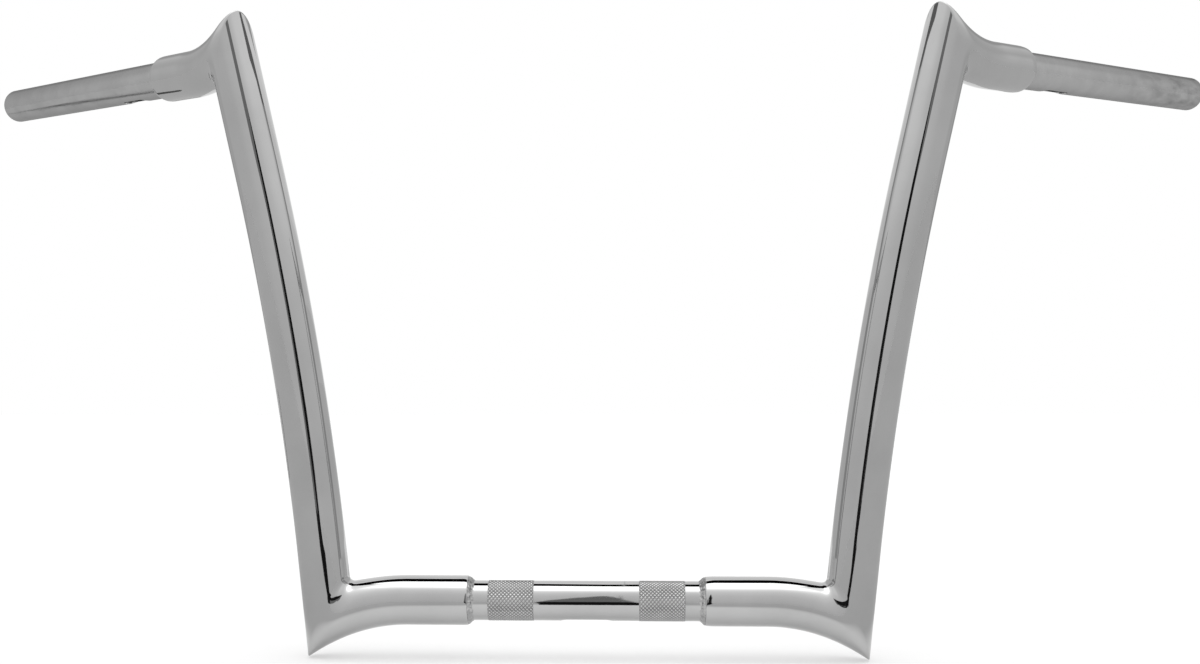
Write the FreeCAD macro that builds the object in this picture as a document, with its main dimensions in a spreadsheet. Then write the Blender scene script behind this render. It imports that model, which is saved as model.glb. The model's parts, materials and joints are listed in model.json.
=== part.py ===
"""Chromed steel motorcycle handlebar: cut and mitred tubes, sleeved over a clamp tube and two grip tubes.

The origin is the middle of the clamp tube. +X runs along the clamp tube, +Y back to the rider, +Z up.
The right half is modelled, and the left half is its mirror image.
"""
import FreeCAD, Part
import os
import re
import Sketcher

# Driving dimensions, in millimetres and degrees
DIMENSIONS = {
    # Clamp tube and grip tubes, of one tube size
    "tube_diameter": 25.4,
    "tube_wall": 3.05,
    # Arms and uprights, of the next tube size up, which slides over the first
    "arm_wall": 3.05,
    "sleeve_clearance": 0.125,
    "lower_straight": 40.0,
    "upper_straight": 33.0,
    "sleeve_spare": 6.5,
    "arm_end_chamfer": 2.5,
    "bend_radius": 113.0,
    "lower_bend": 27.0,
    "upper_bend": 27.0,
    "upper_mitre": 75.3,
    # Uprights: straight feet and heads, with a long gentle bow between them
    "foot_lean": 6.2,
    "foot_straight": 30.0,
    "bow_radius": 2290.0,
    "bow_angle": 6.7,
    "head_straight": 82.0,
    # Clamp tube: two knurled bands where the risers hold it, a gap between them and a margin beyond each
    "knurl_gap": 68.0,
    "knurl_length": 29.0,
    "knurl_height": 0.2,
    "clamp_margin": 13.0,
    "clamp_slot_length": 34.5,
    "clamp_slot_width": 11.0,
    # Grip tubes, swept back to the rider, with a wiring slot under each
    "grip_sweep": 45.0,
    "grip_length": 247.0,
    "grip_end_chamfer": 1.5,
    "grip_slot_distance": 47.0,
    "grip_slot_length": 32.0,
    "grip_slot_width": 10.0,
    # Fillet welds that close the sleeves
    "weld_length": 3.5,
    "weld_height": 0.7,
    "weld_depth": 0.3,
}

# Sizes that follow from the driving ones
DERIVED = {
    "tube_radius": "tube_diameter / 2",
    "tube_bore": "tube_radius - tube_wall",
    "arm_bore": "tube_radius + sleeve_clearance",
    "arm_radius": "arm_bore + arm_wall",
    "clamp_sleeve": "lower_straight - sleeve_spare",
    "grip_sleeve": "upper_straight - sleeve_spare",
    "knurl_start": "knurl_gap / 2",
    "knurl_end": "knurl_start + knurl_length",
    "clamp_end": "knurl_end + clamp_margin",
    "lower_mitre": "90 + foot_lean - lower_bend",
    "foot_x": "clamp_end + lower_straight + bend_radius * sin(lower_bend)",
    "foot_z": "-bend_radius * (1 - cos(lower_bend))",
    "foot_spare": "2 * arm_radius / tan(lower_mitre / 2)",
    "head_lean": "foot_lean + bow_angle",
    "bow_end_x": "bow_radius * (1 - cos(bow_angle))",
    "bow_end_z": "foot_straight + bow_radius * sin(bow_angle)",
    "head_spare": "2 * arm_radius / tan(upper_mitre / 2)",
    "head_local_x": "bow_end_x + head_straight * sin(bow_angle)",
    "head_local_z": "bow_end_z + head_straight * cos(bow_angle)",
    "head_x": "foot_x + head_local_x * cos(foot_lean) + head_local_z * sin(foot_lean)",
    "head_z": "foot_z + head_local_z * cos(foot_lean) - head_local_x * sin(foot_lean)",
    "upper_turn": "upper_mitre + upper_bend",
    "upper_end_x": "bend_radius * (cos(upper_turn) - cos(upper_mitre)) - upper_straight * sin(upper_turn)",
    "upper_end_z": "bend_radius * (sin(upper_turn) - sin(upper_mitre)) + upper_straight * cos(upper_turn)",
}

# Stations along each bend at which its tube's section is drawn
BEND_STEPS = 6

doc = FreeCAD.newDocument("handlebar")
sheet = doc.addObject("Spreadsheet::Sheet", "dims")
for row, (alias, value) in enumerate(DIMENSIONS.items(), start=1):
    sheet.set(f"A{row}", str(value))
    sheet.setAlias(f"A{row}", alias)
for row, (alias, formula) in enumerate(DERIVED.items(), start=1):
    sheet.set(f"B{row}", f"={formula}")
    sheet.setAlias(f"B{row}", alias)
doc.recompute()


def bound(formula):
    """The formula with every size in it read from the sheet."""
    def sheet_name(match):
        word = match.group()
        return f"dims.{word}" if word in DIMENSIONS or word in DERIVED else word

    return re.sub("[a-z_]+", sheet_name, formula)


def size(formula):
    """The number that a formula has now."""
    return float(sheet.evalExpression(bound(formula)))


def placed(x, z, turn):
    """A place in the XZ plane, turned about Y, as an expression."""
    return f"placement(vector({bound(x)}; 0; {bound(z)}); rotationy({bound(turn)}))"


# Places of the mitres. At each one the upright's axis leaves along +Z and the arm leans to -X
FOOT = placed("foot_x", "foot_z", "foot_lean")
HEAD = (
    "placement(vector(dims.head_x; 0; dims.head_z); "
    "rotationy(dims.head_lean) * rotationz(dims.grip_sweep) * rotationy(180))"
)
# Places where the sleeves end, with +X along the tube that comes out
CLAMP_END = "placement(vector(dims.clamp_end; 0; 0); rotationz(180))"
GRIP_END = f"{HEAD} * {placed('upper_end_x', 'upper_end_z', '270 - upper_turn')}"


def new_body(label, place):
    """An empty body at a place."""
    body = doc.addObject("PartDesign::Body", label)
    body.Label = label
    body.setExpression("Placement", place)
    return body


def new_sketch(body, name, plane):
    """An empty sketch on one of the body's own planes."""
    sketch = body.newObject("Sketcher::SketchObject", name)
    support = [feature for feature in body.Origin.OriginFeatures if feature.Role == plane][0]
    sketch.AttachmentSupport = [(support, "")]
    sketch.MapMode = "FlatFace"
    return sketch


def pin_point(sketch, geometry, vertex, x, y):
    """Hold one point of a sketch at the two sizes given."""
    for direction, formula in (("DistanceX", x), ("DistanceY", y)):
        rule = Sketcher.Constraint(direction, -1, 1, geometry, vertex, size(formula))
        number = sketch.addConstraint(rule)
        sketch.setExpression(f"Constraints[{number}]", bound(formula))


def outline(sketch, corners):
    """A closed outline of straight lines through the corners."""
    count = len(corners)
    points = [FreeCAD.Vector(size(x), size(y), 0) for x, y in corners]
    for number in range(count):
        sketch.addGeometry(Part.LineSegment(points[number], points[(number + 1) % count]))
    for number in range(count):
        sketch.addConstraint(Sketcher.Constraint("Coincident", number, 2, (number + 1) % count, 1))
        pin_point(sketch, number, 1, *corners[number])


def circle(sketch, radius):
    """A circle about the sketch's origin."""
    number = sketch.addGeometry(Part.Circle(FreeCAD.Vector(), FreeCAD.Vector(0, 0, 1), size(radius)))
    sketch.addConstraint(Sketcher.Constraint("Coincident", number, 3, -1, 1))
    rule = sketch.addConstraint(Sketcher.Constraint("Radius", number, size(radius)))
    sketch.setExpression(f"Constraints[{rule}]", bound(radius))


def turned(body, corners):
    """A solid of revolution about the body's X axis, from a section of length and radius."""
    sketch = new_sketch(body, f"{body.Label}_section", "XZ_Plane")
    outline(sketch, corners)
    revolution = body.newObject("PartDesign::Revolution", f"{body.Label}_turned")
    revolution.Profile = sketch
    revolution.ReferenceAxis = (sketch, ["H_Axis"])
    revolution.Angle = 360
    doc.recompute()


def wiring_slot(body, middle, length, width):
    """A slot with round ends through the underside of a tube that lies along X."""
    whole = body.Shape.Volume
    half_run = f"({length} - {width}) / 2"
    radius = f"{width} / 2"
    sketch = new_sketch(body, f"{body.Label}_slot_outline", "XY_Plane")
    left, right = f"{middle} - {half_run}", f"{middle} + {half_run}"
    upper, lower = radius, f"0 - {radius}"
    corners = [(left, lower), (right, lower), (right, upper), (left, upper)]
    points = [FreeCAD.Vector(size(x), size(y), 0) for x, y in corners]
    right_tip = FreeCAD.Vector(size(right) + size(radius), 0, 0)
    left_tip = FreeCAD.Vector(size(left) - size(radius), 0, 0)
    sketch.addGeometry(Part.LineSegment(points[0], points[1]))
    sketch.addGeometry(Part.Arc(points[1], right_tip, points[2]))
    sketch.addGeometry(Part.LineSegment(points[2], points[3]))
    sketch.addGeometry(Part.Arc(points[3], left_tip, points[0]))
    for number in (0, 2):
        pin_point(sketch, number, 1, *corners[number])
        pin_point(sketch, number, 2, *corners[number + 1])
    # Each round end runs from the end of one side to the start of the other
    for arc, centre in ((1, right), (3, left)):
        sketch.addConstraint(Sketcher.Constraint("Coincident", arc - 1, 2, arc, 1))
        sketch.addConstraint(Sketcher.Constraint("Coincident", arc, 2, (arc + 1) % 4, 1))
        rule = sketch.addConstraint(Sketcher.Constraint("DistanceX", -1, 1, arc, 3, size(centre)))
        sketch.setExpression(f"Constraints[{rule}]", bound(centre))
    slot = body.newObject("PartDesign::Pocket", f"{body.Label}_slot")
    slot.Profile = sketch
    slot.Type = "Length"
    slot.setExpression("Length", bound("tube_diameter"))
    slot.Reversed = False
    doc.recompute()
    if not body.Shape.Volume < whole:
        raise RuntimeError(f"the slot in {body.Label} cuts nothing")


def clamp_tube():
    """The straight tube in the middle, with knurled bands, weld grooves and a wiring slot."""
    body = new_body("centre_clamp_tube", "placement(vector(0; 0; 0); rotationx(0))")
    half = [
        ("knurl_start", "tube_radius"),
        ("knurl_start", "tube_radius + knurl_height"),
        ("knurl_end", "tube_radius + knurl_height"),
        ("knurl_end", "tube_radius"),
        ("clamp_end - weld_length", "tube_radius"),
        ("clamp_end - weld_length", "tube_radius - weld_depth"),
        ("clamp_end", "tube_radius - weld_depth"),
        ("clamp_end", "tube_radius"),
        ("clamp_end + clamp_sleeve", "tube_radius"),
        ("clamp_end + clamp_sleeve", "tube_bore"),
    ]
    mirrored = [(f"0 - ({x})", radius) for x, radius in reversed(half)]
    turned(body, mirrored + half)
    wiring_slot(body, "0", "clamp_slot_length", "clamp_slot_width")
    return body


def grip_tube():
    """The tube that carries a grip, with its inner end in the upper arm."""
    body = new_body("right_grip_tube", GRIP_END)
    corners = [
        ("0 - grip_sleeve", "tube_bore"),
        ("0 - grip_sleeve", "tube_radius"),
        ("0", "tube_radius"),
        ("0", "tube_radius - weld_depth"),
        ("weld_length", "tube_radius - weld_depth"),
        ("weld_length", "tube_radius"),
        ("grip_length - grip_end_chamfer", "tube_radius"),
        ("grip_length", "tube_radius - grip_end_chamfer"),
        ("grip_length", "tube_bore"),
    ]
    turned(body, corners)
    wiring_slot(body, "grip_slot_distance", "grip_slot_length", "grip_slot_width")
    return body


def weld(label, place):
    """A fillet weld between the end of a sleeve and the tube that comes out of it."""
    body = new_body(label, place)
    corners = [
        ("0", "tube_radius - weld_depth"),
        ("0", "tube_radius + weld_height"),
        ("weld_length", "tube_radius"),
        ("weld_length", "tube_radius - weld_depth"),
    ]
    turned(body, corners)
    return body


def bend_loft(name, radius, mitre, bend):
    """The bend of an arm, from its slanting mitre to the round section where the straight begins."""
    sections = []
    for step in range(BEND_STEPS + 1):
        share = step / BEND_STEPS
        heading = f"({mitre} + {bend} * {share})"
        # The section's plane turns from the mitre's plane to one square to the tube
        tilt = f"({mitre} / 2 + ({mitre} / 2 + {bend} - 90) * {share})"
        section = doc.addObject("Part::Ellipse", f"{name}_{step}")
        section.setExpression("MajorRadius", bound(f"max({radius}; {radius} / sin({heading} - {tilt}))"))
        section.setExpression("MinorRadius", bound(radius))
        x = f"bend_radius * (cos({heading}) - cos({mitre}))"
        z = f"bend_radius * (sin({heading}) - sin({mitre}))"
        section.setExpression("Placement", placed(x, z, f"270 - {tilt}"))
        sections.append(section)
    loft = doc.addObject("Part::Loft", name)
    loft.Sections = sections
    loft.Solid = True
    loft.Ruled = False
    return loft


def straight_run(name, kind, mitre, bend, distance, sizes):
    """A round primitive on the straight part of an arm, a distance past the end of its bend."""
    turn = f"({mitre} + {bend})"
    x = f"bend_radius * (cos({turn}) - cos({mitre})) - ({distance}) * sin({turn})"
    z = f"bend_radius * (sin({turn}) - sin({mitre})) + ({distance}) * cos({turn})"
    primitive = doc.addObject(kind, name)
    for size_name, formula in sizes.items():
        primitive.setExpression(size_name, bound(formula))
    primitive.setExpression("Placement", placed(x, z, f"0 - {turn}"))
    return primitive


def joined(name, pieces):
    """The pieces fused into one solid."""
    fuse = doc.addObject("Part::MultiFuse", name)
    fuse.Shapes = pieces
    return fuse


def bent_arm(label, mitre, bend, straight, place):
    """A tube mitred at one end, then bent, then straight, with a chamfered open end."""
    sleeve = straight_run(
        f"{label}_sleeve", "Part::Cylinder", mitre, bend, "0",
        {"Radius": "arm_radius", "Height": f"{straight} - arm_end_chamfer"},
    )
    chamfer = straight_run(
        f"{label}_chamfer", "Part::Cone", mitre, bend, f"{straight} - arm_end_chamfer",
        {"Radius1": "arm_radius", "Radius2": "arm_radius - arm_end_chamfer", "Height": "arm_end_chamfer"},
    )
    bore = straight_run(
        f"{label}_bore", "Part::Cylinder", mitre, bend, "0",
        {"Radius": "arm_bore", "Height": straight},
    )
    bend_outside = bend_loft(f"{label}_bend", "arm_radius", mitre, bend)
    bend_inside = bend_loft(f"{label}_hollow", "arm_bore", mitre, bend)
    arm = doc.addObject("Part::Cut", label)
    arm.Label = label
    arm.Base = joined(f"{label}_outside", [bend_outside, sleeve, chamfer])
    arm.Tool = joined(f"{label}_inside", [bend_inside, bore])
    arm.setExpression("Placement", place)
    return arm


def mitre_block(name, mitre, spare, place):
    """A block whose top face is a mitre's plane, large enough to cut off the spare end of an upright."""
    block = doc.addObject("Part::Box", name)
    side = bound(f"4 * {spare}")
    for dimension in ("Length", "Width", "Height"):
        block.setExpression(dimension, side)
    slant = f"placement(vector(0; 0; 0); rotationy(90 - {bound(mitre)} / 2))"
    corner = f"placement(vector(-{side} / 2; -{side} / 2; -{side}); rotationx(0))"
    block.setExpression("Placement", f"{place} * {slant} * {corner}")
    return block


def upright():
    """The riser of one side: a bowed tube, mitred to the lower arm and to the upper arm."""
    stock = new_body("right_upright_stock", FOOT)
    path = new_sketch(stock, "right_upright_path", "XZ_Plane")
    top_x = "head_local_x + head_spare * sin(bow_angle)"
    top_z = "head_local_z + head_spare * cos(bow_angle)"
    stops = [("0", "0 - foot_spare"), ("0", "foot_straight"), ("bow_end_x", "bow_end_z"), (top_x, top_z)]
    points = [FreeCAD.Vector(size(x), size(z), 0) for x, z in stops]
    middle_x = size("bow_radius * (1 - cos(bow_angle / 2))")
    middle_z = size("foot_straight + bow_radius * sin(bow_angle / 2)")
    path.addGeometry(Part.LineSegment(points[0], points[1]))
    path.addGeometry(Part.Arc(points[1], FreeCAD.Vector(middle_x, middle_z, 0), points[2]))
    path.addGeometry(Part.LineSegment(points[2], points[3]))
    for line, start in ((0, 0), (2, 2)):
        pin_point(path, line, 1, *stops[start])
        pin_point(path, line, 2, *stops[start + 1])
    # The bow turns to the right, so its arc runs from its upper end to its lower end
    path.addConstraint(Sketcher.Constraint("Coincident", 1, 2, 0, 2))
    path.addConstraint(Sketcher.Constraint("Coincident", 1, 1, 2, 1))
    rule = path.addConstraint(Sketcher.Constraint("Radius", 1, size("bow_radius")))
    path.setExpression(f"Constraints[{rule}]", bound("bow_radius"))

    ring = new_sketch(stock, "right_upright_ring", "XY_Plane")
    ring.setExpression("AttachmentOffset.Base.z", bound("0 - foot_spare"))
    circle(ring, "arm_radius")
    circle(ring, "arm_bore")
    doc.recompute()
    pipe = stock.newObject("PartDesign::AdditivePipe", "right_upright_pipe")
    pipe.Profile = ring
    pipe.Spine = path
    doc.recompute()

    foot_cut = mitre_block("right_foot_cut", "lower_mitre", "foot_spare", FOOT)
    head_cut = mitre_block("right_head_cut", "upper_mitre", "head_spare", HEAD)
    tube = doc.addObject("Part::Cut", "right_upright")
    tube.Label = "right_upright"
    tube.Base = stock
    tube.Tool = joined("right_upright_cuts", [foot_cut, head_cut])
    return tube


def mirrored(node):
    """The left-hand twin of a right-hand piece."""
    label = node.Label.replace("right_", "left_")
    twin = doc.addObject("Part::Mirroring", label)
    twin.Label = label
    twin.Source = node
    twin.Normal = FreeCAD.Vector(1, 0, 0)
    return twin


right_side = [
    bent_arm("right_lower_arm", "lower_mitre", "lower_bend", "lower_straight", FOOT),
    upright(),
    bent_arm("right_upper_arm", "upper_mitre", "upper_bend", "upper_straight", HEAD),
    grip_tube(),
    weld("right_clamp_weld", CLAMP_END),
    weld("right_grip_weld", GRIP_END),
]
nodes = [clamp_tube()] + right_side + [mirrored(node) for node in right_side]
doc.recompute()

for item in doc.Objects:
    if "Invalid" in item.State or "Error" in item.State:
        raise RuntimeError(f"{item.Label} failed: {item.State}")
for node in nodes:
    if node.Shape.isNull() or not node.Shape.isValid() or len(node.Shape.Solids) != 1:
        raise RuntimeError(f"{node.Label} is not one valid solid")

os.makedirs("parts", exist_ok=True)
for node in nodes:
    node.Shape.exportStep(f"parts/{node.Label}.step")
    print(f"{node.Label}: {node.Shape.Volume:.0f} mm3")
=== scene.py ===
import json
from math import asin, atan2, copysign, cos, hypot, pi, radians, sin, sqrt, tan

import bmesh
import bpy
from mathutils import Matrix, Vector, noise


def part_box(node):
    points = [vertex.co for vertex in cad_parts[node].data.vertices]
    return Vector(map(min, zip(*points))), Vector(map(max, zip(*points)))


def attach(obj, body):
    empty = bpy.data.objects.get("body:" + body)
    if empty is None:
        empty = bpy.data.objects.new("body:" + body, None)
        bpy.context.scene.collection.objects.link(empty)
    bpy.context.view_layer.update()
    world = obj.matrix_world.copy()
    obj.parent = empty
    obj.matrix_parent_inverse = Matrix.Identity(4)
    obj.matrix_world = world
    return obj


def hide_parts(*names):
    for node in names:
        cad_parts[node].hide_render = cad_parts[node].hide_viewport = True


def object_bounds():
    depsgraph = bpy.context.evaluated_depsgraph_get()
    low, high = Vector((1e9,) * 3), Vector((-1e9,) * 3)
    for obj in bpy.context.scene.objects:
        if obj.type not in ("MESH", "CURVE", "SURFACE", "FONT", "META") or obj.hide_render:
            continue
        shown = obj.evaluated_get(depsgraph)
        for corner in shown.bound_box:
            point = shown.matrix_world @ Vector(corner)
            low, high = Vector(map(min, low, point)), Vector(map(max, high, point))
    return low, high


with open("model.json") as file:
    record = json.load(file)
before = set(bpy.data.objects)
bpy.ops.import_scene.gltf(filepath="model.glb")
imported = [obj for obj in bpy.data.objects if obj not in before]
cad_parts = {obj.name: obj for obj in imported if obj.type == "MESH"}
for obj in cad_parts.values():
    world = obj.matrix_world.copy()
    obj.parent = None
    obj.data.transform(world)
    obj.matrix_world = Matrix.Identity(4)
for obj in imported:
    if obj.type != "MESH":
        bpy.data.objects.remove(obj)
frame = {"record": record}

cad_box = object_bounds()
bpy.context.scene.view_settings.view_transform = "Standard"


# Clamp tube: the one-inch steel tube that the risers hold. It is drawn tube, rolled with a diamond knurl
# in two bands, slotted underneath for the wiring, and chromed once the whole bar is welded.
MM = 0.001
mounts = {mount["name"]: mount for mount in frame["record"]["mounts"]}
tube_radius = mounts["right_grip"]["dims"]["r_mm"] * MM
tube_bore = mounts["right_bar_end"]["dims"]["r_mm"] * MM
clamp_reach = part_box("centre_clamp_tube")[1].x
clamp_slot_length = 34.5 * MM
clamp_slot_width = 11 * MM
rim_round = 0.35 * MM
rim_segments = 2
tip_width = 0.02 * MM
merge_gap = 0.001 * MM
sharp_angle = radians(40)
half_turn_steps = 64


def slot_half_width(distance, length, width):
    """Half the opening of a round-ended slot, at a distance along it from its middle."""
    into_round_end = max(abs(distance) - (length - width) / 2, 0)
    square = (width / 2) ** 2 - into_round_end ** 2
    return sqrt(square) if square > tip_width ** 2 else 0


def slot_stations(middle, length, width, steps=8):
    """Places along a slot where its edge needs a point, closer together round its two ends."""
    run = (length - width) / 2
    ahead = [run + width / 2 * sin(pi / 2 * step / steps) for step in range(steps + 1)]
    offsets = [-distance for distance in reversed(ahead)] + [-run / 3, run / 3] + ahead
    return [middle + offset for offset in offsets]


def slotted_tube(outside, bore, slot_middle, slot_length, slot_width):
    """A tube along X: half is spun from the underside, parted along the slot's edge, and mirrored."""
    bm = bmesh.new()
    inside = [(along, bore) for along, _ in reversed(outside)]
    profile = [bm.verts.new((along, 0, -radius)) for along, radius in outside + inside]
    edges = [bm.edges.new(ends) for ends in zip(profile, profile[1:] + profile[:1])]
    bmesh.ops.spin(bm, geom=profile + edges, cent=(0, 0, 0), axis=(1, 0, 0), angle=pi,
                   steps=half_turn_steps)
    for vert in bm.verts:
        radius = hypot(vert.co.y, vert.co.z)
        parting = asin(slot_half_width(vert.co.x - slot_middle, slot_length, slot_width) / radius)
        turn = parting + atan2(abs(vert.co.y), -vert.co.z) * (1 - parting / pi)
        vert.co.yz = radius * sin(turn), -radius * cos(turn)
    bmesh.ops.mirror(bm, geom=bm.verts[:] + bm.edges[:] + bm.faces[:], axis="Y", merge_dist=merge_gap)
    bmesh.ops.remove_doubles(bm, verts=bm.verts[:], dist=merge_gap)
    bmesh.ops.bridge_loops(bm, edges=[edge for edge in bm.edges if edge.is_boundary])
    bmesh.ops.recalc_face_normals(bm, faces=bm.faces[:])
    for face in bm.faces:
        in_bore = all(hypot(vert.co.y, vert.co.z) < bore + tip_width for vert in face.verts)
        face.material_index = int(in_bore)
    rims = [edge for edge in bm.edges if edge.calc_face_angle() > sharp_angle]
    bmesh.ops.bevel(bm, geom=rims, offset=rim_round, segments=rim_segments, profile=0.5,
                    affect="EDGES", material=-1)
    return bm


knurl_radius = mounts["riser_clamp"]["dims"]["r_mm"] * MM
knurl_end = mounts["riser_clamp"]["dims"]["length_mm"] / 2 * MM
knurl_length = 29 * MM
knurl_depth = 0.45 * MM
knurl_diamonds_round = 30
knurl_diamonds_along = 12
knurl_groove = 0.68 * MM
knurl_seat = tube_radius - 0.6 * MM
knurl_cut_gap = 0.0001 * MM
knurl_seam_gap = 0.01 * MM
knurl_finish = 2


def knurled_band(start):
    """A ring of raised diamonds: a flat sheet of inset diamonds, trimmed and rolled round the tube."""
    bm = bmesh.new()
    valley = knurl_radius - knurl_depth
    round_pitch = 2 * pi * valley / knurl_diamonds_round
    along_pitch = knurl_length / knurl_diamonds_along
    count = 2 * knurl_diamonds_round
    bmesh.ops.create_grid(bm, x_segments=count, y_segments=count, size=count / 2)
    bmesh.ops.rotate(bm, verts=bm.verts[:], matrix=Matrix.Rotation(pi / 4, 3, "Z"))
    bmesh.ops.scale(bm, verts=bm.verts[:], vec=(along_pitch / sqrt(2), round_pitch / sqrt(2), 1))
    half_length, half_girth = knurl_length / 2, pi * valley
    spare = [face for face in bm.faces if abs(face.calc_center_median().x) > half_length + along_pitch
             or abs(face.calc_center_median().y) > half_girth + round_pitch]
    bmesh.ops.delete(bm, geom=spare, context="FACES")
    bmesh.ops.inset_individual(bm, faces=bm.faces[:], thickness=knurl_groove, use_even_offset=True)
    crests = [face for face in bm.faces if len(face.edges) == 4
              and all(len(vert.link_faces) == 3 for vert in face.verts)]
    for face in crests:
        bmesh.ops.translate(bm, verts=face.verts[:], vec=(0, 0, knurl_depth))
    for cut in (Vector((half_length, 0, 0)), Vector((0, half_girth, 0))):
        for side in (cut, -cut):
            bmesh.ops.bisect_plane(bm, geom=bm.verts[:] + bm.edges[:] + bm.faces[:], dist=knurl_cut_gap,
                                   plane_co=side, plane_no=side, clear_outer=True)
    for vert in bm.verts:
        turn, radius = vert.co.y / valley, valley + vert.co.z
        vert.co = Vector((start + half_length + vert.co.x, radius * sin(turn), radius * cos(turn)))
    bmesh.ops.remove_doubles(bm, verts=bm.verts[:], dist=knurl_seam_gap)
    ends = bmesh.ops.extrude_edge_only(bm, edges=[edge for edge in bm.edges if edge.is_boundary])["geom"]
    for vert in [item for item in ends if isinstance(item, bmesh.types.BMVert)]:
        vert.co.yz = vert.co.yz.normalized() * knurl_seat
    bmesh.ops.bridge_loops(bm, edges=[edge for edge in bm.edges if edge.is_boundary])
    bmesh.ops.recalc_face_normals(bm, faces=bm.faces[:])
    for face in bm.faces:
        face.material_index = knurl_finish
    return bm


def finished_piece(name, bm, materials, slot, *nodes):
    """Makes the mesh an object that rides on the bar and stands for these nodes."""
    mesh = bpy.data.meshes.new(name)
    bm.to_mesh(mesh)
    mesh.shade_smooth()
    mesh.set_sharp_from_angle(angle=sharp_angle)
    for material in materials:
        mesh.materials.append(material)
    piece = bpy.data.objects.new(name, mesh)
    bpy.context.scene.collection.objects.link(piece)
    piece.modifiers.new("true_faces", "WEIGHTED_NORMAL").keep_sharp = True
    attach(piece, "root")
    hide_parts(*nodes)


def plated_surface(scratch_wear=0.35, scratch_height=-0.04):
    """Node group for chrome: cloudy changes of polish, fine hairlines and a faint ripple."""
    group = bpy.data.node_groups.new("plated_surface", "ShaderNodeTree")
    face = group.interface
    face.new_socket("Vector", in_out="INPUT", socket_type="NodeSocketVector")
    usual = {"Bright": 0.57, "Dull": 0.52, "Polish": 0.04, "Haze": 0.05, "Patch": 24.0}
    for name, value in usual.items():
        face.new_socket(name, in_out="INPUT", socket_type="NodeSocketFloat").default_value = value
    for name in ("Tone", "Roughness", "Height"):
        face.new_socket(name, in_out="OUTPUT", socket_type="NodeSocketFloat")
    nodes, links = group.nodes, group.links
    inlet, outlet = nodes.new("NodeGroupInput"), nodes.new("NodeGroupOutput")
    cloud = nodes.new("ShaderNodeTexNoise")
    cloud.inputs["Detail"].default_value = 4.0
    cloud.inputs["Roughness"].default_value = 0.6
    links.new(inlet.outputs["Vector"], cloud.inputs["Vector"])
    links.new(inlet.outputs["Patch"], cloud.inputs["Scale"])
    stretch = nodes.new("ShaderNodeMapping")
    stretch.inputs["Rotation"].default_value = (0.5, 0.4, 0.3)
    stretch.inputs["Scale"].default_value = (1.0, 18.0, 18.0)
    links.new(inlet.outputs["Vector"], stretch.inputs["Vector"])
    hairline = nodes.new("ShaderNodeTexNoise")
    hairline.inputs["Scale"].default_value = 160.0
    hairline.inputs["Detail"].default_value = 3.0
    links.new(stretch.outputs["Vector"], hairline.inputs["Vector"])
    scratch = nodes.new("ShaderNodeMapRange")
    scratch.inputs["From Min"].default_value = 0.62
    scratch.inputs["From Max"].default_value = 0.8
    links.new(hairline.outputs["Fac"], scratch.inputs["Value"])
    tone = nodes.new("ShaderNodeMapRange")
    tone.inputs["From Min"].default_value = 0.3
    tone.inputs["From Max"].default_value = 0.7
    links.new(cloud.outputs["Fac"], tone.inputs["Value"])
    links.new(inlet.outputs["Bright"], tone.inputs["To Min"])
    links.new(inlet.outputs["Dull"], tone.inputs["To Max"])
    worn = nodes.new("ShaderNodeMath")
    worn.operation = "MULTIPLY_ADD"
    worn.inputs[1].default_value = scratch_wear
    links.new(scratch.outputs["Result"], worn.inputs[0])
    links.new(cloud.outputs["Fac"], worn.inputs[2])
    rough = nodes.new("ShaderNodeMath")
    rough.operation = "MULTIPLY_ADD"
    links.new(worn.outputs["Value"], rough.inputs[0])
    links.new(inlet.outputs["Haze"], rough.inputs[1])
    links.new(inlet.outputs["Polish"], rough.inputs[2])
    ripple = nodes.new("ShaderNodeTexNoise")
    ripple.inputs["Scale"].default_value = 70.0
    ripple.inputs["Detail"].default_value = 1.0
    links.new(inlet.outputs["Vector"], ripple.inputs["Vector"])
    height = nodes.new("ShaderNodeMath")
    height.operation = "MULTIPLY_ADD"
    height.inputs[1].default_value = scratch_height
    links.new(scratch.outputs["Result"], height.inputs[0])
    links.new(ripple.outputs["Fac"], height.inputs[2])
    links.new(tone.outputs["Result"], outlet.inputs["Tone"])
    links.new(rough.outputs["Value"], outlet.inputs["Roughness"])
    links.new(height.outputs["Value"], outlet.inputs["Height"])
    return group


plating = plated_surface()


def chrome(name, ripple_depth, edge_tint, **values):
    """A chrome finish: the shared plated surface with its own values, and a tint at grazing angles."""
    material = bpy.data.materials.new(name)
    material.use_nodes = True
    nodes, links = material.node_tree.nodes, material.node_tree.links
    shader = nodes["Principled BSDF"]
    shader.inputs["Metallic"].default_value = 1.0
    shader.inputs["Specular Tint"].default_value = (edge_tint, edge_tint, edge_tint, 1)
    place = nodes.new("ShaderNodeTexCoord")
    plate = nodes.new("ShaderNodeGroup")
    plate.node_tree = plating
    plate.name = "plate"
    for socket, value in values.items():
        plate.inputs[socket].default_value = value
    links.new(place.outputs["Object"], plate.inputs["Vector"])
    links.new(plate.outputs["Tone"], shader.inputs["Base Color"])
    links.new(plate.outputs["Roughness"], shader.inputs["Roughness"])
    bump = nodes.new("ShaderNodeBump")
    bump.inputs["Distance"].default_value = ripple_depth
    links.new(plate.outputs["Height"], bump.inputs["Height"])
    links.new(bump.outputs["Normal"], shader.inputs["Normal"])
    return material


def shade_tone(material, share):
    """Multiplies the plate's tone by a share of it, on its way to the shader."""
    nodes, links = material.node_tree.nodes, material.node_tree.links
    tone = nodes.new("ShaderNodeMath")
    tone.operation = "MULTIPLY"
    links.new(nodes["plate"].outputs["Tone"], tone.inputs[0])
    links.new(share, tone.inputs[1])
    links.new(tone.outputs["Value"], nodes["Principled BSDF"].inputs["Base Color"])


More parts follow.
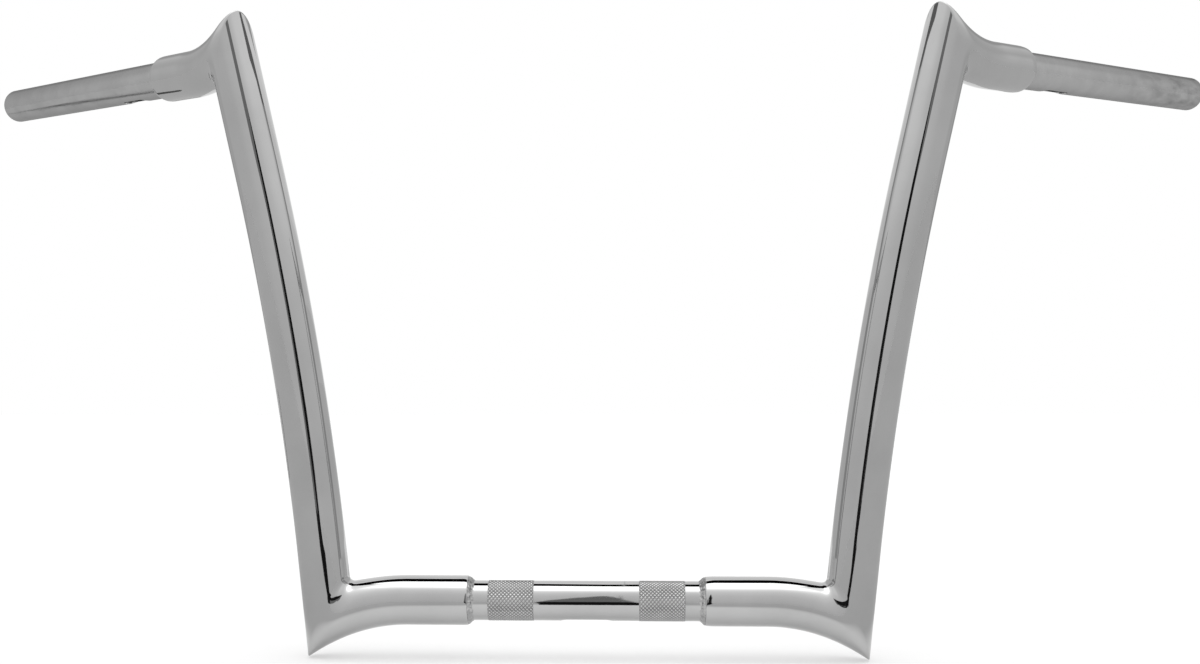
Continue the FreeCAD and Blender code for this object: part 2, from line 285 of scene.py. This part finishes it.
def paint_groove_shade(material, groove_radius, crest_radius, groove_shade_tone):
    """Paints shade into a finish: its tone darkens towards the clamp tube's axis, down into the knurl's
    grooves.
    """
    nodes, links = material.node_tree.nodes, material.node_tree.links
    place = nodes.new("ShaderNodeTexCoord")
    across = nodes.new("ShaderNodeVectorMath")
    across.operation = "MULTIPLY"
    across.inputs[1].default_value = (0, 1, 1)
    links.new(place.outputs["Object"], across.inputs[0])
    reach = nodes.new("ShaderNodeVectorMath")
    reach.operation = "LENGTH"
    links.new(across.outputs["Vector"], reach.inputs[0])
    unshaded_share = nodes.new("ShaderNodeMapRange")
    unshaded_share.inputs["From Min"].default_value = groove_radius
    unshaded_share.inputs["From Max"].default_value = crest_radius
    unshaded_share.inputs["To Min"].default_value = groove_shade_tone
    links.new(reach.outputs["Value"], unshaded_share.inputs["Value"])
    shade_tone(material, unshaded_share.outputs["Result"])


polished_chrome = chrome("polished_chrome", ripple_depth=0.02 * MM, edge_tint=0.95, Polish=0.02,
                         Haze=0.05)
bare_bore = chrome("bare_bore", ripple_depth=0.1 * MM, edge_tint=0.5, Polish=0.4, Haze=0.3, Patch=90.0,
                   Bright=0.3, Dull=0.14)
knurl_chrome = chrome("knurl_chrome", ripple_depth=0.03 * MM, edge_tint=0.75, Polish=0.12, Haze=0.16,
                      Patch=60.0, Bright=0.66, Dull=0.54)
# The knurl's grooves get painted shade: the tone darkens down towards the tube's axis.
paint_groove_shade(knurl_chrome, groove_radius=knurl_radius - knurl_depth,
               crest_radius=knurl_radius - 0.1 * MM, groove_shade_tone=0.45)

knurl_start = knurl_end - knurl_length
seat_step = 0.1 * MM
right_half = [(knurl_start, tube_radius), (knurl_start + seat_step, knurl_seat),
              (knurl_end - seat_step, knurl_seat), (knurl_end, tube_radius), (clamp_reach, tube_radius)]
slot_part = [(along, tube_radius) for along in slot_stations(0, clamp_slot_length, clamp_slot_width)]
clamp_outside = [(-along, radius) for along, radius in reversed(right_half)] + slot_part + right_half
clamp = slotted_tube(clamp_outside, tube_bore, 0, clamp_slot_length, clamp_slot_width)
for band_start in (-knurl_end, knurl_start):
    band = knurled_band(band_start)
    band_mesh = bpy.data.meshes.new("band")
    band.to_mesh(band_mesh)
    clamp.from_mesh(band_mesh)
    bpy.data.meshes.remove(band_mesh)
clamp_finishes = [polished_chrome, bare_bore, knurl_chrome]
finished_piece("clamp_tube", clamp, clamp_finishes, "clamp_chrome", "centre_clamp_tube")


# Arms and uprights: three lengths of one-and-a-quarter-inch tube on each side, mandrel-bent, mitred,
# welded and ground flush. Each side is one continuous chromed skin, with soft inside corners and sharp
# tips, and it slides over the end of the clamp tube.
arm_radius = 15.875 * MM
arm_bore = 12.825 * MM
end_round = 0.7 * MM
end_ease = 0.055
right_ease_length = 5 * MM
left_ease_length = 2 * MM
lower_straight = 40 * MM
upper_straight = 33 * MM
bend_radius = 113 * MM
arm_bend = radians(27)
lower_corner = radians(69.2)
upper_corner = radians(75.3)
foot_straight = 30 * MM
bow_radius = 2290 * MM
bow_angle = radians(6.7)
head_straight = 82 * MM
grip_sweep = radians(45)
ring_sides = 128
ring_turns = [2 * pi * side / ring_sides for side in range(ring_sides)]
ring_merge_gap = 0.02 * MM
bend_steps = 20
blend_steps = 10
bow_steps = 24
inside_blend = 3.5 * MM
tip_blend = 1 * MM
flank_blend = 12 * MM


def onward(place, length):
    """The place further along the tube."""
    return place @ Matrix.Translation((0, 0, length))


def turned(place, turn, radius=0, sweep=0):
    """The place after a bend, or after a mitre if it has no radius, towards the side of the sweep."""
    side = Matrix.Rotation(sweep, 4, "Z")
    centre = Matrix.Translation((copysign(radius, turn), 0, 0))
    return place @ side @ centre @ Matrix.Rotation(turn, 4, "Y") @ centre.inverted() @ side.inverted()


def ring(place, radius):
    """Points round the tube."""
    return [place @ Vector((radius * cos(turn), radius * sin(turn), 0)) for turn in ring_turns]


def bend_line(start, first, last, radius, mitre_slant, sweep):
    """The bend's skin, by the share of the way from its square end to its mitre and by the turn."""
    def point(share, turn):
        across = radius * cos(turn - sweep)
        return turned(start, first + (last - first) * share, bend_radius, sweep) @ Vector(
            (radius * cos(turn), radius * sin(turn), tan(mitre_slant * share) * across))
    return point


def ground_share(line, turn, length, halvings=20):
    """The share of a bend that is left when this length is ground off before its mitre."""
    low, high = 0.0, 1.0
    for _ in range(halvings):
        share = (low + high) / 2
        if (line(share, turn) - line(1, turn)).length > length:
            low = share
        else:
            high = share
    return low


def bend_and_mitre_rings(line, upright_way, mitre_turn, sweep, ground):
    """Rings from a bend's square end to the upright. If ground, the mitre has a soft inside corner."""
    mean = (inside_blend + tip_blend) / 2
    change = copysign(inside_blend - tip_blend, mitre_turn) / 2
    lengths, shares = [0] * ring_sides, [1] * ring_sides
    if ground:
        lengths = [mean + change * cos(turn - sweep) + (flank_blend - mean) * sin(turn - sweep) ** 2
                   for turn in ring_turns]
        shares = [ground_share(line, turn, length) for turn, length in zip(ring_turns, lengths)]
    rings = [[line(share * step / bend_steps, turn) for share, turn in zip(shares, ring_turns)]
             for step in range(bend_steps)]
    before = [line(share, turn) for share, turn in zip(shares, ring_turns)]
    corner = [line(1, turn) for turn in ring_turns]
    after = [point + upright_way * length for point, length in zip(corner, lengths)]
    for step in range(blend_steps + 1) if ground else (0,):
        t = step / blend_steps
        rings.append([a * (1 - t) ** 2 + b * 2 * t * (1 - t) + c * t ** 2
                      for a, b, c in zip(before, corner, after)])
    return rings


def side_rings(radius, ground):
    """Rings along a whole side, from the clamp tube to the grip tube, and the place where it ends."""
    lower_turn, upper_turn = lower_corner - pi, pi - upper_corner
    place = onward(lower_end, lower_straight)
    lower_bend = bend_line(place, 0, arm_bend, radius, -lower_turn / 2, 0)
    foot = turned(turned(place, arm_bend, bend_radius), lower_turn)
    rings = bend_and_mitre_rings(lower_bend, foot.col[2].xyz, lower_turn, 0, ground)
    bow = onward(foot, foot_straight)
    for step in range(2, bow_steps + 1):
        rings.append(ring(turned(bow, bow_angle * step / bow_steps, bow_radius), radius))
    head = onward(turned(bow, bow_angle, bow_radius), head_straight)
    place = turned(head, upper_turn, 0, grip_sweep)
    upper_bend = bend_line(place, -arm_bend, 0, radius, upper_turn / 2, grip_sweep)
    rings += bend_and_mitre_rings(upper_bend, -head.col[2].xyz, upper_turn, grip_sweep, ground)[::-1]
    return rings, onward(turned(place, -arm_bend, bend_radius, grip_sweep), upper_straight)


def end_rings(place, direction, ease_length, steps=8):
    """Rings over the end of an arm: its face, a rounded rim, and where it is eased to meet the weld."""
    rings = []
    for step in range(steps + 1):
        turn = pi / 2 * step / steps
        drop = end_ease * ease_length + end_round * (1 - sin(turn))
        rings.append(ring(onward(place, direction * end_round * (1 - cos(turn))), arm_radius - drop))
    for step in range(1, steps + 1):
        share = step / steps
        rings.append(ring(onward(place, direction * (end_round + ease_length * share)),
                          arm_radius - end_ease * ease_length * (1 - share) ** 2))
    return rings


def drawn_through(rings):
    """A closed skin through all the rings and back to the first: a sheet with its rows laid on them."""
    bm = bmesh.new()
    rows = len(rings)
    bmesh.ops.create_grid(bm, x_segments=ring_sides, y_segments=rows, size=1)
    for vert in bm.verts:
        row, side = round((vert.co.y + 1) / 2 * rows), round((vert.co.x + 1) / 2 * ring_sides)
        vert.co = rings[row % rows][side % ring_sides]
    bmesh.ops.remove_doubles(bm, verts=bm.verts[:], dist=ring_merge_gap)
    bmesh.ops.recalc_face_normals(bm, faces=bm.faces[:])
    return bm


def mirrored(bm):
    """The same piece for the left side of the bar."""
    left = bm.copy()
    bmesh.ops.scale(left, verts=left.verts[:], vec=(-1, 1, 1))
    bmesh.ops.reverse_faces(left, faces=left.faces[:])
    return left


arm_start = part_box("right_lower_arm")[0].x
lower_end = Matrix(((0, 0, 1, arm_start), (0, 1, 0, 0), (-1, 0, 0, 0), (0, 0, 0, 1)))
outer_rings, upper_end = side_rings(arm_radius, ground=True)
bore_rings, _ = side_rings(arm_bore, ground=False)
for hand, ease in (("right", right_ease_length), ("left", left_ease_length)):
    outside = end_rings(lower_end, 1, ease) + outer_rings + end_rings(upper_end, -1, ease)[::-1]
    inside = [ring(upper_end, arm_bore)] + bore_rings[::-1] + [ring(lower_end, arm_bore)]
    skin = drawn_through(outside + inside)
    if hand == "left":
        skin = mirrored(skin)
    finished_piece(f"{hand}_arms_and_upright", skin, [polished_chrome], "arm_chrome",
                   f"{hand}_lower_arm", f"{hand}_upright", f"{hand}_upper_arm")


# Grip tubes: one-inch drawn tube, sleeved into the upper arms and open at the bar end, with a wiring
# slot underneath. Grips and switches cover them, so they are plated thin and show marks and scuffs.
grip_length = 247 * MM
grip_sleeve = 26.5 * MM
grip_end_chamfer = 1.5 * MM
grip_slot_middle = 47 * MM
grip_slot_length = 32 * MM
grip_slot_width = 10 * MM
scuff_start = 0.38
scuff_full = 0.45
scuff_turn = radians(43.8)
scuff_stretch = 2.5
scuff_depth = 0.35


def scuff_bar_end(material):
    """Dulls a finish in streaks along the outer end of the right grip tube, where it was rubbed."""
    nodes, links = material.node_tree.nodes, material.node_tree.links
    place = nodes.new("ShaderNodeTexCoord")
    split = nodes.new("ShaderNodeSeparateXYZ")
    links.new(place.outputs["Object"], split.inputs["Vector"])
    bar_end = nodes.new("ShaderNodeMapRange")
    bar_end.inputs["From Min"].default_value = scuff_start
    bar_end.inputs["From Max"].default_value = scuff_full
    links.new(split.outputs["X"], bar_end.inputs["Value"])
    along_tube = nodes.new("ShaderNodeMapping")
    along_tube.vector_type = "TEXTURE"
    along_tube.inputs["Rotation"].default_value = (0, 0, scuff_turn)
    along_tube.inputs["Scale"].default_value = (scuff_stretch, 1, 1)
    links.new(place.outputs["Object"], along_tube.inputs["Vector"])
    rub = nodes.new("ShaderNodeTexNoise")
    rub.inputs["Scale"].default_value = 130.0
    rub.inputs["Detail"].default_value = 3.0
    links.new(along_tube.outputs["Vector"], rub.inputs["Vector"])
    rubbed = nodes.new("ShaderNodeMapRange")
    rubbed.inputs["From Min"].default_value = 0.42
    rubbed.inputs["From Max"].default_value = 0.68
    rubbed.inputs["To Max"].default_value = scuff_depth
    links.new(rub.outputs["Fac"], rubbed.inputs["Value"])
    scuff = nodes.new("ShaderNodeMath")
    scuff.operation = "MULTIPLY"
    links.new(bar_end.outputs["Result"], scuff.inputs[0])
    links.new(rubbed.outputs["Result"], scuff.inputs[1])
    left_clean = nodes.new("ShaderNodeMath")
    left_clean.operation = "SUBTRACT"
    left_clean.inputs[0].default_value = 1.0
    links.new(scuff.outputs["Value"], left_clean.inputs[1])
    shade_tone(material, left_clean.outputs["Value"])


grip_chrome = chrome("grip_chrome", ripple_depth=0.03 * MM, edge_tint=0.55, Polish=0.06, Haze=0.16,
                     Patch=60.0, Bright=0.64, Dull=0.56)
scuff_bar_end(grip_chrome)

grip_place = upper_end @ Matrix.Rotation(grip_sweep, 4, "Z")
grip_axes = grip_place @ Matrix(((0, 0, -1, 0), (0, 1, 0, 0), (1, 0, 0, 0), (0, 0, 0, 1)))
grip_slot = (grip_slot_middle, grip_slot_length, grip_slot_width)
grip_outside = [(-grip_sleeve, tube_radius)]
grip_outside += [(along, tube_radius) for along in slot_stations(*grip_slot)]
grip_outside += [(grip_length - grip_end_chamfer, tube_radius),
                 (grip_length, tube_radius - grip_end_chamfer)]
grip = slotted_tube(grip_outside, tube_bore, *grip_slot)
bmesh.ops.transform(grip, matrix=grip_axes, verts=grip.verts[:])
for hand, tube in (("right", grip), ("left", mirrored(grip))):
    finished_piece(f"{hand}_grip_tube_skin", tube, [grip_chrome, bare_bore], "grip_chrome",
                   f"{hand}_grip_tube")


# Sleeve welds: a bead run by hand round each sleeve, closing the step from the arm down to the thinner
# tube. It is plated over as it was laid, so its ripples still show.
bead_edge = ((-0.5, -0.4), (-0.5, 2.2), (0.2, 2.55), (0.8, 2.25), (1.5, 1.65), (2.2, 1.0), (2.9, 0.45),
             (3.5, 0.12), (4.0, -0.1), (4.0, -0.4))
bead_steps = 240
lump_height = 0.28 * MM
lump_length = 2 * MM
lumps_round = 6.5
small_lump_share = 0.3

weld_chrome = chrome("weld_chrome", ripple_depth=0.06 * MM, edge_tint=0.75, Polish=0.08, Haze=0.16,
                     Patch=420.0, Bright=0.6, Dull=0.34)


def sleeve_bead(place, seed):
    """A lumpy bead round the tube, from the arm's end face down to the tube."""
    bm = bmesh.new()
    edge = [bm.verts.new((tube_radius + height * MM, 0, along * MM)) for along, height in bead_edge]
    loop = [bm.edges.new(ends) for ends in zip(edge, edge[1:] + edge[:1])]
    shown_edges = loop[1:8]
    bmesh.ops.subdivide_edges(bm, edges=shown_edges, cuts=1)
    bmesh.ops.spin(bm, geom=bm.verts[:] + bm.edges[:], cent=(0, 0, 0), axis=(0, 0, 1), angle=2 * pi,
                   steps=bead_steps, use_merge=True)
    bmesh.ops.remove_doubles(bm, verts=bm.verts[:], dist=merge_gap)
    for vert in bm.verts:
        outward = Vector((vert.co.x, vert.co.y, 0)).normalized()
        if vert.co.xy.length > tube_radius:
            spot = outward * lumps_round + Vector((0, 0, seed + vert.co.z / lump_length))
            lump = noise.noise(spot) + small_lump_share * noise.noise(spot * 2)
            vert.co += (outward + Vector((0, 0, 1))) * lump_height * lump
    bmesh.ops.recalc_face_normals(bm, faces=bm.faces[:])
    bmesh.ops.transform(bm, matrix=place, verts=bm.verts[:])
    return bm


inward = lower_end @ Matrix.Rotation(pi, 4, "Y")
for joint, joint_place, lump_seed in (("clamp", inward, 1.0), ("grip", upper_end, 7.0)):
    bead = sleeve_bead(joint_place, lump_seed)
    for hand, weld in (("right", bead), ("left", mirrored(bead))):
        finished_piece(f"{hand}_{joint}_bead", weld, [weld_chrome], "weld_chrome",
                       f"{hand}_{joint}_weld")


# Floor: a sheet of studio paper under the lowest points of the bar, which are the tips of its lower
# mitres. It is white to the camera and keeps the bar's soft shadow. In the chrome it shows as a pool of
# light under the bar, and darker outside it.
floor_reach = 6.0
floor_gap = 0.2 * MM
floor_top = cad_box[0].z
pool_size = (0.25, 0.23, 1.0)
pool_middle = (0, 0.08, floor_top - floor_gap)
pool_fade_start = 0.85
pool_fade_end = 1.15

ground_sheet = bmesh.new()
bmesh.ops.create_grid(ground_sheet, x_segments=1, y_segments=1, size=floor_reach,
                      matrix=Matrix.Translation((0, 0, floor_top - floor_gap)))
floor_mesh = bpy.data.meshes.new("floor")
ground_sheet.to_mesh(floor_mesh)
floor = bpy.data.objects.new("floor", floor_mesh)
bpy.context.scene.collection.objects.link(floor)

paper = bpy.data.materials.new("studio_paper")
paper.use_nodes = True
paper_nodes, paper_links = paper.node_tree.nodes, paper.node_tree.links
paper_shader = paper_nodes["Principled BSDF"]
paper_shader.inputs["Roughness"].default_value = 0.9
paper_shader.inputs["Specular IOR Level"].default_value = 0.0
paper_shader.inputs["Emission Color"].default_value = (1, 1, 1, 1)
paper_place = paper_nodes.new("ShaderNodeTexCoord")
pool_shape = paper_nodes.new("ShaderNodeMapping")
pool_shape.vector_type = "TEXTURE"
pool_shape.inputs["Location"].default_value = pool_middle
pool_shape.inputs["Scale"].default_value = pool_size
paper_links.new(paper_place.outputs["Object"], pool_shape.inputs["Vector"])
from_middle = paper_nodes.new("ShaderNodeVectorMath")
from_middle.operation = "LENGTH"
paper_links.new(pool_shape.outputs["Vector"], from_middle.inputs[0])


def pool(inside, outside):
    """A value that goes from one level in the pool of light under the bar to another outside it."""
    fade = paper_nodes.new("ShaderNodeMapRange")
    fade.interpolation_type = "SMOOTHSTEP"
    fade.inputs["From Min"].default_value = pool_fade_start
    fade.inputs["From Max"].default_value = pool_fade_end
    fade.inputs["To Min"].default_value = inside
    fade.inputs["To Max"].default_value = outside
    paper_links.new(from_middle.outputs["Value"], fade.inputs["Value"])
    return fade.outputs["Result"]


paper_links.new(pool(inside=0.55, outside=0.5), paper_shader.inputs["Base Color"])
paper_ray = paper_nodes.new("ShaderNodeLightPath")
glow_in_chrome = paper_nodes.new("ShaderNodeMath")
glow_in_chrome.operation = "MULTIPLY"
paper_links.new(paper_ray.outputs["Is Glossy Ray"], glow_in_chrome.inputs[0])
paper_links.new(pool(inside=0.33, outside=0.06), glow_in_chrome.inputs[1])
glow = paper_nodes.new("ShaderNodeMath")
glow.operation = "MULTIPLY_ADD"
paper_links.new(paper_ray.outputs["Is Camera Ray"], glow.inputs[0])
paper_links.new(pool(inside=0.45, outside=0.5), glow.inputs[1])
paper_links.new(glow_in_chrome.outputs["Value"], glow.inputs[2])
paper_links.new(glow.outputs["Value"], paper_shader.inputs["Emission Strength"])
floor_mesh.materials.append(paper)


# Studio: a pale cloth tent, brightest overhead and darkest straight behind, with a white backdrop. The
# black and grey lines in the chrome are a seam in its roof, the camera's stand and boom, the table's
# edges, and boards that stand between the uprights.
world = bpy.data.worlds.new("studio")
bpy.context.scene.world = world
world.use_nodes = True
tent_nodes, tent_links = world.node_tree.nodes, world.node_tree.links
tent_place = tent_nodes.new("ShaderNodeTexCoord")
direction = tent_nodes.new("ShaderNodeSeparateXYZ")
tent_links.new(tent_place.outputs["Generated"], direction.inputs["Vector"])
lowest = -0.2
rise = tent_nodes.new("ShaderNodeMapRange")
rise.inputs["From Min"].default_value = lowest
tent_links.new(direction.outputs["Z"], rise.inputs["Value"])


def tent_wall(*levels):
    """A wall's brightness by height, as pairs of the upward part of a direction and a level."""
    ramp = tent_nodes.new("ShaderNodeValToRGB")
    while len(ramp.color_ramp.elements) < len(levels):
        ramp.color_ramp.elements.new(0.5)
    for stop, (height, level) in zip(ramp.color_ramp.elements, levels):
        stop.position = (height - lowest) / (1 - lowest)
        stop.color = (level, level, level, 1)
    tent_links.new(rise.outputs["Result"], ramp.inputs["Fac"])
    return ramp.outputs["Color"]


front = tent_wall((-0.2, 0.67), (0.06, 0.68), (0.2, 0.72), (0.33, 0.75), (0.55, 0.81), (0.73, 0.93),
                  (0.8, 1.02), (0.84, 1.1), (0.875, 1.25), (0.906, 1.5), (0.94, 2.2))
flank = tent_wall((-0.2, 0.63), (0.0, 0.64), (0.12, 0.66), (0.3, 0.76), (0.42, 0.93), (0.7, 1.0),
                  (0.9, 1.4), (0.94, 2.2))
rear = tent_wall((-0.2, 0.56), (0.0, 0.56), (0.5, 0.6), (0.7, 0.8), (0.9, 1.4), (0.94, 2.2))
behind = tent_wall((-0.2, 0.4), (0.5, 0.4), (0.7, 0.8), (0.9, 1.4), (0.94, 2.2))


def walls_meeting(first, second, part, start, end):
    """One wall's brightness turning into another's, between two values of a part of the direction."""
    turn = tent_nodes.new("ShaderNodeMapRange")
    turn.interpolation_type = "SMOOTHSTEP"
    turn.inputs["From Min"].default_value = start
    turn.inputs["From Max"].default_value = end
    tent_links.new(part, turn.inputs["Value"])
    mix = tent_nodes.new("ShaderNodeMix")
    mix.data_type = "RGBA"
    tent_links.new(turn.outputs["Result"], mix.inputs["Factor"])
    tent_links.new(first, mix.inputs["A"])
    tent_links.new(second, mix.inputs["B"])
    return mix.outputs["Result"]


sideways = tent_nodes.new("ShaderNodeMath")
sideways.operation = "ABSOLUTE"
tent_links.new(direction.outputs["X"], sideways.inputs[0])
sides = walls_meeting(flank, rear, direction.outputs["Y"], start=0.1, end=0.4)
front_and_sides = walls_meeting(front, sides, sideways.outputs["Value"], start=0.25, end=0.7)
tent = walls_meeting(front_and_sides, behind, direction.outputs["Y"], start=0.6, end=0.78)
tent_ray = tent_nodes.new("ShaderNodeLightPath")
white_to_camera = tent_nodes.new("ShaderNodeMix")
white_to_camera.data_type = "RGBA"
white_to_camera.inputs["B"].default_value = (1, 1, 1, 1)
tent_links.new(tent_ray.outputs["Is Camera Ray"], white_to_camera.inputs["Factor"])
tent_links.new(tent, white_to_camera.inputs["A"])
tent_links.new(white_to_camera.outputs["Result"], tent_nodes["Background"].inputs["Color"])


def card(name, level, corners):
    """A flat card of one brightness that only the chrome sees."""
    bm = bmesh.new()
    bm.faces.new([bm.verts.new(corner) for corner in corners])
    mesh = bpy.data.meshes.new(name)
    bm.to_mesh(mesh)
    cloth = bpy.data.materials.new(name)
    cloth.use_nodes = True
    shader = cloth.node_tree.nodes["Principled BSDF"]
    shader.inputs["Base Color"].default_value = (0, 0, 0, 1)
    shader.inputs["Specular IOR Level"].default_value = 0.0
    shader.inputs["Emission Color"].default_value = (1, 1, 1, 1)
    shader.inputs["Emission Strength"].default_value = level
    mesh.materials.append(cloth)
    panel = bpy.data.objects.new(name, mesh)
    bpy.context.scene.collection.objects.link(panel)
    panel.visible_camera = panel.visible_diffuse = panel.visible_shadow = False


def facing_card(name, level, depth, *corners):
    """A card that stands across the view, at a depth. Its corners are places across and heights."""
    card(name, level, [(across, depth, height) for across, height in corners])


def level_card(name, level, height, *corners):
    """A card that lies level, at a height. Its corners are places across and depths."""
    card(name, level, [(across, depth, height) for across, depth in corners])


def middle_card(name, level, across, *corners):
    """An upright card along the view, which only the uprights see. Its corners are depths and heights."""
    card(name, level, [(across, depth, height) for depth, height in corners])


white, black = 0.95, 0.01
backdrop_depth = 0.75
roof_height = 1
facing_card("backdrop", white, backdrop_depth, (-0.45, floor_top), (0.45, floor_top), (0.45, 0.72),
            (-0.45, 0.72))
level_card("roof_seam", 0.0, roof_height, (-0.6, 0.25), (-0.2, 0.21), (0, 0.16), (0.2, 0.21),
           (0.6, 0.25), (0.6, 0.6), (0.2, 0.68), (0, 0.5), (-0.2, 0.68), (-0.6, 0.6))

# The stand and boom are on the camera's own plane. The cover, just left of it, narrows the stand for the
# left upright alone.
camera_plane = 0.025
cover_plane = camera_plane - 0.5 * MM
middle_card("camera_stand", black, camera_plane, (-0.42, floor_top), (-1.6, floor_top), (-1.6, 0.55),
            (-0.69, 0.55), (-0.6, 0.42), (-0.45, 0.12), (-0.42, 0.05))
middle_card("stand_cover", 0.64, cover_plane, (-0.4, 0.012), (-0.56, 0.012), (-0.6, 0.03),
            (-0.56, 0.064), (-0.5, 0.1), (-0.47, 0.16), (-0.4, 0.16))
middle_card("camera_boom", 0.22, camera_plane, (-0.69, 0.55), (-1.6, 0.55), (-3, 0.95), (-3, 1.5),
            (-1.6, 1), (-1, 0.8), (-0.8, 0.7))

# The dark boards draw the uprights' second line, and the pale ones behind them light its inner side.
board_back = ((0.045, 0.03), (0.065, 0.18), (0.075, 0.25), (0.115, 0.34), (0.12, 0.44), (0.09, 0.49),
              (0.02, 0.53))
board_reach = 0.7
pale_levels = (0.62, 0.68, 0.77, 0.86, 0.93, 0.97)
middle_card("dark_board", 0.36, camera_plane, (0.005, 0.03), *board_back[:5], (0.055, 0.44), (0.08, 0.4),
            (0.07, 0.33), (0.03, 0.24))
middle_card("dark_board_top", 0.16, camera_plane, *board_back[4:], (-0.02, 0.53), (-0.02, 0.48),
            (0.04, 0.46), (0.055, 0.44))
for step, (lower, upper, pale) in enumerate(zip(board_back, board_back[1:], pale_levels)):
    middle_card(f"pale_board_{step}", pale, camera_plane, lower, (board_reach, lower[1]),
                (board_reach, upper[1]), upper)

camera_depth = -0.95
table_end = -0.94
table_top = floor_top + floor_gap
table_back_height = -0.035
facing_card("camera_front", 0.2, camera_depth, (-0.1, floor_top), (0.05, floor_top), (-0.004, 0.7))
facing_card("camera_foot", 0.02, table_end, (-0.1, floor_top), (0.05, floor_top), (0.045, 0.02),
            (-0.09, 0.02))
level_card("table_front", black, table_top, (-0.038, -0.13), (0.037, -0.13), (0.1, table_end),
           (-0.1, table_end))
level_card("table_back", 0.1, table_back_height, (-0.8, 0.48), (-1.5, 0.72), (-1.5, 0.82), (-0.8, 0.55))


# Camera: in front of the bar, a little above the clamp tube and to the right of its middle. Its place,
# its turn and the shift of its lens were fitted to the photo's outline together with the bar.
camera_data = bpy.data.cameras.new("camera")
camera_data.lens = 45
camera_data.sensor_width = 36
camera_data.shift_x = 0.0375
camera_data.clip_start = 0.05
camera = bpy.data.objects.new("camera", camera_data)
camera.location = (0.025143, -0.972643, 0.145347)
camera.rotation_euler = (radians(91.659), radians(0.106), radians(2.665))
bpy.context.scene.collection.objects.link(camera)
bpy.context.scene.camera = camera
